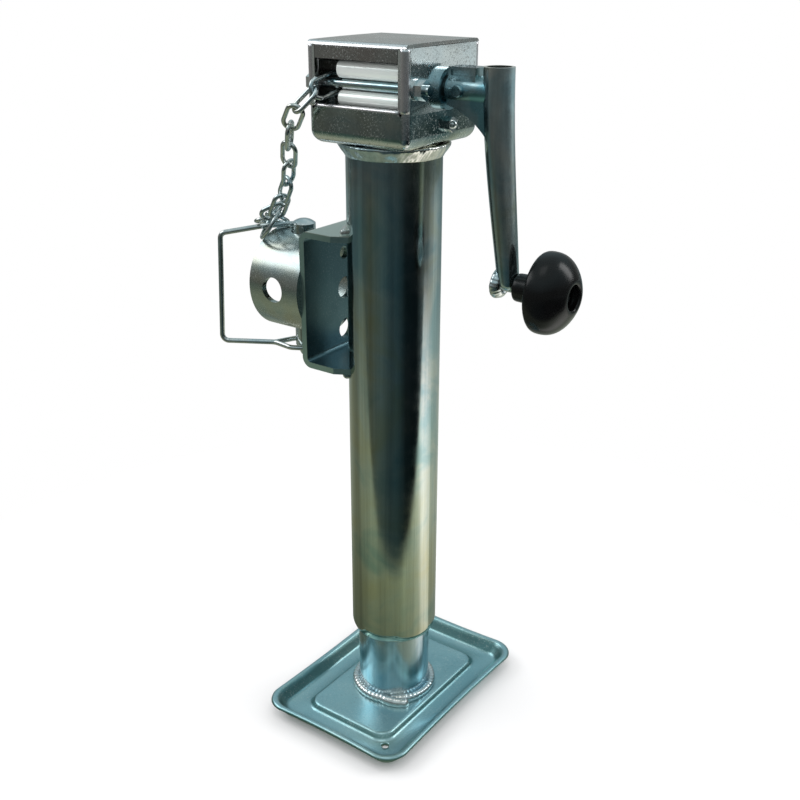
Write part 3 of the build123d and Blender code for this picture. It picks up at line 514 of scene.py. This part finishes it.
def pipe_along(name, line, radius, material, closed=False, sides=16):
    """A round wire along a line in metres. Its radius is in metres, or a function of the share passed."""
    count = len(line)
    turns = [2 * math.pi * j / sides for j in range(sides)]
    rings = []
    up = None
    for i, p in enumerate(line):
        before = line[(i - 1) % count] if closed or i > 0 else p
        after = line[(i + 1) % count] if closed or i < count - 1 else p
        along = (after - before).normalized()
        if up is None:
            up = along.orthogonal()
        up = (up - along * up.dot(along)).normalized()
        side = along.cross(up)
        size = radius(i / (count - 1)) if callable(radius) else radius
        rings.append([p + (up * math.cos(a) + side * math.sin(a)) * size for a in turns])
    if closed:
        rings = twisted_to_close(rings, line)
    points, faces = bridged(rings, close_ends=not closed, close_loop=closed)
    return add_mesh(name, points, faces, material)


def twisted_to_close(rings, line):
    """The rings of a closed wire, turned little by little, so that the last meets the first."""
    count, sides = len(rings), len(rings[0])
    start = (rings[0][0] - line[0]).normalized()
    reach = min(range(sides), key=lambda j: ((rings[-1][j] - line[-1]).normalized() - start).length)
    if reach > sides // 2:
        reach -= sides
    twisted = []
    for i, (ring, p) in enumerate(zip(rings, line)):
        along = (line[(i + 1) % count] - line[i - 1]).normalized()
        turn = Matrix.Rotation(2 * math.pi * reach / sides * i / count, 3, along)
        twisted.append([p + turn @ (q - p) for q in ring])
    return twisted


def straight_line(start, end, steps):
    """Points in metres between two points in mm."""
    return [Vector(start).lerp(Vector(end), i / steps) * MM for i in range(steps + 1)]


# Foot plate: level rounded rectangles, each with its half width, height and corner radius in mm
FOOT_LONGER = 23.2
FOOT_BOW = 1.2
FOOT_BOW_FROM = 44.0
FOOT_BOW_OVER = 12.0
FOOT_SIDE_STEPS = 20
FOOT_CORNER_STEPS = 14
FOOT_HOLE = (36.4, -60.0)
FOOT_HOLE_RADIUS = 2.7
FOOT_TOP = [
    (3.0, 6.5, 2.0), (20.0, 6.5, 6.0), (30.6, 6.5, 8.0), (32.4, 6.62, 8.8), (33.7, 6.5, 9.4),
    (34.7, 5.7, 10.0), (35.7, 3.9, 10.8), (36.7, 2.75, 11.4), (38.2, 2.25, 12.0), (43.5, 2.2, 11.0),
    (46.9, 2.3, 10.5), (48.5, 2.9, 10.6), (49.7, 4.2, 11.0), (52.2, 8.0, 12.8), (54.0, 10.4, 14.0),
    (55.0, 11.25, 14.8), (56.2, 11.5, 15.4), (57.5, 11.25, 16.0), (58.25, 10.5, 16.4), (58.5, 9.7, 16.6),
    (58.2, 9.3, 16.6),
]
FOOT_UNDERSIDE = [
    (57.7, 9.55, 16.2), (57.0, 9.8, 15.8), (56.3, 9.5, 15.2), (55.0, 8.1, 14.0), (52.7, 4.3, 12.0),
    (51.2, 1.6, 10.6), (50.1, 0.4, 9.8), (48.6, 0.0, 9.2), (38.0, 0.0, 11.0), (35.6, 0.3, 10.6),
    (34.2, 1.8, 9.6), (32.8, 3.7, 8.6), (31.0, 4.3, 7.6), (3.0, 4.3, 2.0),
]


def foot_ring(half, height, corner):
    """One level ring in metres. The sides of the outer rings bow in a little, as pressed sheet does."""
    bow = FOOT_BOW * min(1.0, max(0.0, (half - FOOT_BOW_FROM) / FOOT_BOW_OVER))
    points = []
    for turn in range(4):
        reach, width = (half, half + FOOT_LONGER) if turn % 2 == 0 else (half + FOOT_LONGER, half)
        quarter = []
        for i in range(FOOT_SIDE_STEPS):
            u = i / FOOT_SIDE_STEPS * 2 - 1
            quarter.append((reach - bow * (1 - u * u), u * (width - corner), height))
        for i in range(FOOT_CORNER_STEPS):
            a = math.pi / 2 * i / FOOT_CORNER_STEPS
            x, y = reach + corner * (math.cos(a) - 1), width + corner * (math.sin(a) - 1)
            quarter.append((x, y, height))
        spin = Matrix.Rotation(turn * math.pi / 2, 3, "Z")
        points += [spin @ Vector(p) * MM for p in quarter]
    return points


def foot_pressing():
    points, faces = bridged([foot_ring(*level) for level in FOOT_TOP + FOOT_UNDERSIDE], close_ends=True)
    piece = add_mesh("foot_pressing", points, faces, ZINC_FOOT)
    drill = [(-2, 0.01), (-2, FOOT_HOLE_RADIUS), (5, FOOT_HOLE_RADIUS), (5, 0.01)]
    x, y = FOOT_HOLE
    cutter = lathe("cutter", drill, "Z", (x * MM, y * MM, 0), ZINC_FOOT, 40)
    cut = piece.modifiers.new("hole", "BOOLEAN")
    cut.object = cutter
    cut.solver = "EXACT"
    bake(piece)
    bpy.data.objects.remove(cutter)
    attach(piece, "leg")
    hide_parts("foot_plate")


# Weld beads. The shares are of a bead's length or of its radius.
RIPPLE_SHARE = 0.07
SWELL_PLACE = 0.04
SWELL_WIDTH = 0.05
ROUNDED_END = 0.012
BLUNT_END = 0.05
LUMPS_PER_METRE = 190
LUMPS_SUNK = 0.2
TURNED_RIPPLES = 2400
TURNED_RIPPLE_SHARE = 0.18
GRIP_AXIS = Vector((0, 0, 0.327))
COLLAR_PROFILE = [
    (404.0, 29.6), (404.0, 35.0), (402.6, 35.1), (400.9, 34.2), (399.2, 33.0), (397.6, 31.8), (396.2, 30.9),
    (395.3, 30.3), (395.0, 29.6),
]
GRIP_WELD_PROFILE = [
    (75.6, 4.1), (75.6, 8.6), (76.6, 9.3), (78.6, 9.2), (80.4, 8.2), (81.8, 6.4), (82.4, 4.1),
]


def arc_line(radius, height, start, end, steps, drift_out=0.0, drift_up=0.0):
    """Points in metres round the tube's axis, between headings in degrees. The last tenth drifts away."""
    line = []
    for i in range(steps + 1):
        share = i / steps
        a = math.radians(start + (end - start) * share)
        late = max(0.0, (share - 0.9) / 0.1)
        r = radius + drift_out * late
        line.append(Vector((r * math.cos(a), r * math.sin(a), height + drift_up * late)) * MM)
    return line


def bead_size(size, lump, seed, ripples, swell):
    """A bead's uneven radius, with slow lumps, close ripples, and ends that swell and then round off."""
    def radius(share):
        slow = noise.noise(Vector((share * ripples / 6, seed, 0.0)))
        ripple = 0.5 + 0.5 * math.cos(2 * math.pi * share * ripples + 2 * slow)
        from_end = min(share, 1 - share)
        swollen = swell * math.exp(-((from_end - SWELL_PLACE) / SWELL_WIDTH) ** 2)
        taper = max(BLUNT_END, min(1.0, math.sqrt(max(0.0, from_end) / ROUNDED_END)))
        return size * MM * (1 + lump * slow + RIPPLE_SHARE * ripple + swollen) * taper
    return radius


def roughen(piece, centre, axis, inside, size):
    """Gives a turned bead uneven lumps and close ripples, outside a radius in metres."""
    for vertex in piece.data.vertices:
        away = vertex.co - centre
        setattr(away, axis.lower(), 0.0)
        if away.length > inside:
            heading = math.atan2(away.z, away.y) if axis == "X" else math.atan2(away.y, away.x)
            ripple = math.cos(heading * away.length * TURNED_RIPPLES)
            lump = noise.noise(vertex.co * LUMPS_PER_METRE) + TURNED_RIPPLE_SHARE * ripple
            vertex.co += away.normalized() * (lump - LUMPS_SUNK) * size * MM


def leg_bead():
    """The weld on the foot: one bead round the leg, whose end runs out over the plate."""
    line = arc_line(radius=27.7, height=8.3, start=-62, end=326, steps=420, drift_out=5.2, drift_up=-0.9)
    size = bead_size(3.0, lump=0.22, seed=3.0, ripples=62, swell=0.22)
    piece = pipe_along("leg_weld_bead", line, size, ZINC_WELD, sides=20)
    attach(piece, "leg")
    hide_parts("leg_weld")


def collar_bead():
    centre = Vector((0, 0, 0))
    piece = lathe("collar_weld_bead", COLLAR_PROFILE, "Z", centre, ZINC_WELD, 240)
    roughen(piece, centre, "Z", inside=0.030, size=0.7)
    subdivide(piece)
    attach(piece, "root")
    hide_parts("collar_weld")


def bracket_beads():
    beads = []
    for height, seed in ((347.2, 1.0), (252.8, 5.0)):
        line = arc_line(radius=31.2, height=height, start=132, end=228, steps=150)
        size = bead_size(2.1, lump=0.25, seed=seed, ripples=18, swell=0.45)
        beads.append(pipe_along("bead", line, size, ZINC_WELD))
    piece = joined(beads, "bracket_weld_beads")
    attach(piece, "root")
    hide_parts("bracket_welds")


def grip_bead():
    piece = lathe("grip_weld_bead", GRIP_WELD_PROFILE, "X", GRIP_AXIS, ZINC_WELD, 72)
    roughen(piece, GRIP_AXIS, "X", inside=0.005, size=0.9)
    subdivide(piece)
    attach(piece, "crank")
    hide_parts("grip_weld")


# Rounded edges of the housing's sheet: a sill under each window and a post at each side of it
SILL_HEIGHT = 425.9
SILL_OUT = 36.1
SILL_HALF = 29.9
SILL_RADIUS = 1.55
POST_TOP = 460.6
POST_OUT = 34.9
POST_ACROSS = 33.0
POST_RADIUS = 2.95


# The sills and posts are drawn in zinc that carries a painted highlight
def housing_bends():
    bends = []
    for side in (-1, 1):
        ends = [(across, side * SILL_OUT, SILL_HEIGHT) for across in (-SILL_HALF, SILL_HALF)]
        sill = straight_line(*ends, 30)
        bends.append(pipe_along("bend", sill, SILL_RADIUS * MM, ZINC_BEND_HIGHLIGHT, sides=24))
        for across in (-POST_ACROSS, POST_ACROSS):
            ends = [(across, side * POST_OUT, height) for height in (SILL_HEIGHT, POST_TOP)]
            post = straight_line(*ends, 20)
            bends.append(pipe_along("bend", post, POST_RADIUS * MM, ZINC_BEND_HIGHLIGHT, sides=32))
    piece = joined(bends, "housing_bends")
    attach(piece, "root")


# Grip, turned about its axle: over the sleeve and the crown, and back through the bore
GRIP_PROFILE = [
    (90.6, 8.1), (91.0, 8.5), (96.0, 8.55), (101.2, 8.7), (103.4, 9.3), (104.6, 10.3), (105.3, 12.0),
    (105.6, 14.5), (105.7, 19.0), (106.0, 21.9), (106.7, 23.5), (108.0, 24.3), (110.0, 24.49),
    (113.0, 24.45), (115.8, 23.9), (118.4, 22.7), (121.0, 20.7), (123.4, 18.0), (125.5, 14.9),
    (126.9, 12.3), (127.6, 10.9), (128.0, 9.6), (128.0, 8.7), (127.7, 7.9), (127.1, 7.5), (125.0, 7.45),
    (119.6, 7.4), (119.1, 7.1), (119.0, 6.4), (119.0, 4.15), (105.0, 4.15), (90.7, 4.15), (90.6, 4.5),
]


def grip_moulding():
    piece = lathe("grip_moulding", GRIP_PROFILE, "X", GRIP_AXIS, PLASTIC)
    subdivide(piece)
    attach(piece, "grip")
    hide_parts("grip_knob")


# Keeper chain: the points in mm where its links meet, and how far each link is rolled in degrees
CHAIN_WIRE = 2.8
CHAIN_GAP = 0.5
TOP_LINK_WIDTH = 14.0
LINK_WIDTH = 12.4
CHAIN_POINTS = [
    (-21.9, -23.7, 440.2), (-27.7, -41.2, 435.0), (-36.7, -47.0, 424.6), (-45.9, -43.1, 413.4),
    (-52.1, -37.3, 400.6), (-58.3, -31.3, 387.9), (-64.5, -25.4, 375.2), (-73.3, -21.6, 363.3),
    (-81.2, -20.1, 350.3),
]
CHAIN_ROLLS = [-14, 119, 51, 157, 50, 133, 7, 70]
RING_CENTRE = Vector((-89.91, -14.63, 345.11))
RING_NORMAL = Vector((0.633, 0.562, -0.531))
RING_RADIUS = 13.5
RING_STEPS = 96
BUNCHED_LINKS = [
    ((-100.5, -5.0, 341.1), (-96.9, -17.8, 344.7), 75),
    ((-99.0, -6.0, 345.9), (-97.9, 5.8, 338.8), 101),
    ((-79.2, -15.6, 355.3), (-90.0, -21.6, 349.3), 40),
]
LINK_SIDE_STEPS = 12
LINK_END_STEPS = 20


def chain_link(start, end, roll, width):
    """An oval of wire between two points in mm where it meets its neighbours."""
    start, end = Vector(start), Vector(end)
    along = (end - start).normalized()
    level = along.cross(Vector((0, 0, 1))).normalized()
    turn = math.radians(roll)
    normal = level * math.cos(turn) + level.cross(along) * math.sin(turn)
    across = along.cross(normal)
    bend = (width - CHAIN_WIRE) / 2
    half = ((end - start).length + CHAIN_WIRE + CHAIN_GAP) / 2 - bend
    oval = []
    for sign in (1, -1):
        for i in range(LINK_SIDE_STEPS):
            oval.append((along * (i / LINK_SIDE_STEPS * 2 - 1) * half - across * bend) * sign)
        for i in range(LINK_END_STEPS):
            a = math.pi * i / LINK_END_STEPS
            oval.append((along * (half + bend * math.sin(a)) - across * bend * math.cos(a)) * sign)
    middle = (start + end) / 2
    line = [(middle + p) * MM for p in oval]
    return pipe_along("link", line, CHAIN_WIRE / 2 * MM, ZINC_WIRE, closed=True)


def hanging_links():
    """The link round the cross bolt, and those below it."""
    spans = zip(CHAIN_POINTS, CHAIN_POINTS[1:], CHAIN_ROLLS)
    widths = [TOP_LINK_WIDTH] + [LINK_WIDTH] * (len(CHAIN_ROLLS) - 1)
    first, *others = [chain_link(*span, width) for span, width in zip(spans, widths)]
    top = joined([first], "chain_link_top")
    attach(top, "root")
    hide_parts("chain_top_link")
    hanging = joined(others, "chain_links_hanging")
    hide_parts("chain_links")
    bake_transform(hanging)


def chain_ring():
    """The round ring that joins the chain to the bail."""
    first = RING_NORMAL.normalized().orthogonal().normalized()
    second = RING_NORMAL.normalized().cross(first)
    turns = [2 * math.pi * i / RING_STEPS for i in range(RING_STEPS)]
    outward = [first * math.cos(a) + second * math.sin(a) for a in turns]
    line = [(RING_CENTRE + out * RING_RADIUS) * MM for out in outward]
    piece = pipe_along("chain_ring_wire", line, CHAIN_WIRE / 2 * MM, ZINC_WIRE, closed=True)
    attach(piece, "bail")
    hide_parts("chain_ring")


def bunched_links():
    """Spare links that lie over the pin's head and the bail."""
    piece = joined([chain_link(*link, LINK_WIDTH) for link in BUNCHED_LINKS], "chain_links_bunched")
    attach(piece, "bail")


# Studio. Bands and tones go round the stand from -X, at 0, through -Y, +X and +Y back to -X, at 1.
FLOOR_SIZE = 12.0
FLOOR_DROP = 0.0002
FLOOR_COLOUR = rgba(0.97, 0.97, 0.97)
FILL_COLOUR = rgba(0.97, 0.97, 0.98)
WHITE = rgba(1, 1, 1)
TOWARDS_CAMERA = math.radians(-53.8)

# Distances in metres over which the floor, or what the gloss sees in it, fades from one thing to the next
SHADOW_TO_WHITE = (0.14, 0.46)
TABLE_EDGE_TO_CAMERA = (0.20, 0.245)
TABLE_EDGE = (0.5, 1.2)
DARK_TO_OUTER = (1.8, 2.04)
OUTER_TO_OUTERMOST = (3.3, 4.5)
TABLE_GLOW = [(0.1, 0.7), (0.32, 1.15)]
STUDIO_BANDS = [
    (0.00, rgba(0.12, 0.17, 0.17)), (0.10, rgba(0.10, 0.15, 0.14)), (0.18, rgba(0.07, 0.08, 0.055)),
    (0.24, rgba(0.07, 0.10, 0.09)), (0.32, rgba(0.035, 0.06, 0.064)), (0.38, rgba(0.022, 0.042, 0.046)),
    (0.43, rgba(0.006, 0.011, 0.012)), (0.51, rgba(0.004, 0.007, 0.008)), (0.58, rgba(0.11, 0.13, 0.125)),
    (0.66, rgba(0.36, 0.42, 0.40)), (0.74, rgba(0.20, 0.27, 0.27)), (0.88, rgba(0.20, 0.27, 0.28)),
    (1.00, rgba(0.12, 0.17, 0.17)),
]
TABLE_TONES = [
    (0.00, rgba(0.19, 0.21, 0.155)), (0.20, rgba(0.25, 0.29, 0.21)), (0.40, rgba(0.31, 0.37, 0.28)),
    (0.48, rgba(0.42, 0.48, 0.38)), (0.53, rgba(0.62, 0.68, 0.58)), (0.56, rgba(1.25, 1.25, 1.18)),
    (0.60, rgba(1.25, 1.25, 1.18)), (0.64, rgba(0.46, 0.50, 0.42)), (0.78, rgba(0.42, 0.46, 0.40)),
    (1.00, rgba(0.19, 0.21, 0.155)),
]
OUTER_TONES = [
    (0.00, rgba(0.10, 0.11, 0.10)), (0.15, rgba(0.10, 0.10, 0.095)), (0.35, rgba(0.03, 0.045, 0.048)),
    (0.48, rgba(0.008, 0.012, 0.013)), (0.65, rgba(0.05, 0.075, 0.075)), (0.85, rgba(0.20, 0.26, 0.27)),
    (1.00, rgba(0.10, 0.11, 0.10)),
]
OUTERMOST_TONES = [
    (0.00, rgba(0.22, 0.24, 0.22)), (0.35, rgba(0.16, 0.17, 0.16)), (0.52, rgba(0.30, 0.36, 0.37)),
    (0.65, rgba(0.66, 0.76, 0.76)), (0.85, rgba(0.46, 0.50, 0.50)), (1.00, rgba(0.22, 0.24, 0.22)),
]
SKY_BY_HEIGHT = [
    (0.0, rgba(0.30, 0.33, 0.32)), (0.07, rgba(0.58, 0.60, 0.58)), (0.16, rgba(0.36, 0.41, 0.41)),
    (0.35, rgba(0.24, 0.31, 0.33)), (0.6, rgba(0.40, 0.52, 0.55)), (0.85, rgba(0.44, 0.54, 0.56)),
]
LOW_SKY_BY_TURN = [
    (0.0, 0.5), (0.15, 0.3), (0.35, 0.25), (0.52, 0.2), (0.7, 0.22), (0.8, 1.0), (0.93, 1.0), (1.0, 0.5),
]
LAMP_TARGET = Vector((0, 0, 0.3))


def turn_of(t, x, y):
    """Where a direction across the floor lies in the bands and tones."""
    return t.maths("MULTIPLY_ADD", t.maths("ARCTAN2", y, x), 1 / (2 * math.pi), 0.5)


def mirrored_studio(t, x, y, away):
    """What the gloss sees in the floor: a table, a dark studio round it, and a lighter ring far out."""
    turn = turn_of(t, x, y)
    table = t.mix(1.0, t.ramp(turn, TABLE_TONES), t.ramp(away, TABLE_GLOW), "MULTIPLY")
    sideways = t.maths("MULTIPLY", y, math.sin(TOWARDS_CAMERA))
    to_camera = t.maths("MULTIPLY_ADD", x, math.cos(TOWARDS_CAMERA), sideways)
    dark = t.maths("MAXIMUM", t.fade(to_camera, *TABLE_EDGE_TO_CAMERA), t.fade(away, *TABLE_EDGE))
    near = t.mix(dark, table, t.ramp(turn, STUDIO_BANDS))
    further = t.fade(away, *OUTER_TO_OUTERMOST)
    outer = t.mix(further, t.ramp(turn, OUTER_TONES), t.ramp(turn, OUTERMOST_TONES))
    return t.mix(t.fade(away, *DARK_TO_OUTER), near, outer)


def add_floor():
    """A pale floor with the stand's shadow, which turns plain white further out."""
    bpy.ops.mesh.primitive_plane_add(size=FLOOR_SIZE, location=(0, 0, -FLOOR_DROP))
    floor = bpy.context.object
    floor.name = "studio_floor"
    material, t = new_material("studio_floor")
    where = t.add("ShaderNodeTexCoord").outputs["Object"]
    x, y, _ = t.parts(where)
    away = t.distance(where, (0, 0, 0))
    path = t.add("ShaderNodeLightPath").outputs
    white = t.maths("MULTIPLY", t.fade(away, *SHADOW_TO_WHITE), path["Is Camera Ray"])
    shaded = t.add("ShaderNodeBsdfDiffuse", {"Color": FLOOR_COLOUR}).outputs[0]
    pale = t.mixed_shader(white, shaded, t.emission(WHITE))
    gloss = t.emission(mirrored_studio(t, x, y, away))
    t.add("ShaderNodeOutputMaterial", {0: t.mixed_shader(path["Is Glossy Ray"], pale, gloss)})
    floor.data.materials.append(material)


def add_world():
    """White to the camera, a soft fill for the light, and a toned sky for the gloss."""
    world = bpy.data.worlds.new("studio")
    bpy.context.scene.world = world
    world.use_nodes = True
    t = Tree(world.node_tree)
    x, y, z = t.parts(t.add("ShaderNodeTexCoord").outputs["Generated"])
    path = t.add("ShaderNodeLightPath").outputs
    low = t.ramp(turn_of(t, x, y), LOW_SKY_BY_TURN)
    high = t.fade(z, 0.12, 0.34)
    sky = t.background(t.mix(1.0, t.ramp(z, SKY_BY_HEIGHT), t.maths("MAXIMUM", low, high), "MULTIPLY"))
    lit = t.mixed_shader(path["Is Glossy Ray"], t.background(FILL_COLOUR), sky)
    shown = t.maths("MAXIMUM", path["Is Camera Ray"], path["Is Transmission Ray"])
    t.add("ShaderNodeOutputWorld", {0: t.mixed_shader(shown, lit, t.background(WHITE))})


def softbox(name, azimuth, elevation, distance, width, height, power):
    """A rectangular lamp that faces its target, from a direction in degrees and a distance in metres."""
    data = bpy.data.lights.new(name, "AREA")
    data.shape = "RECTANGLE"
    data.size = width
    data.size_y = height
    data.energy = power
    lamp = bpy.data.objects.new(name, data)
    a, e = math.radians(azimuth), math.radians(elevation)
    way = Vector((math.cos(a) * math.cos(e), math.sin(a) * math.cos(e), math.sin(e)))
    lamp.location = LAMP_TARGET + way * distance
    lamp.rotation_euler = way.to_track_quat("Z", "Y").to_euler()
    bpy.context.collection.objects.link(lamp)


dress_nodes()
foot_pressing()
leg_bead()
collar_bead()
bracket_beads()
grip_bead()
housing_bends()
grip_moulding()
hanging_links()
chain_ring()
bunched_links()

add_camera()
add_floor()
add_world()
softbox("key", azimuth=-157, elevation=37, distance=1.8, width=1.4, height=0.8, power=7.5)
softbox("rim", azimuth=45, elevation=30, distance=1.4, width=0.4, height=0.7, power=3)
softbox("top", azimuth=-70, elevation=75, distance=1.8, width=0.8, height=0.8, power=1.5)
bpy.context.scene.view_settings.view_transform = "Standard"
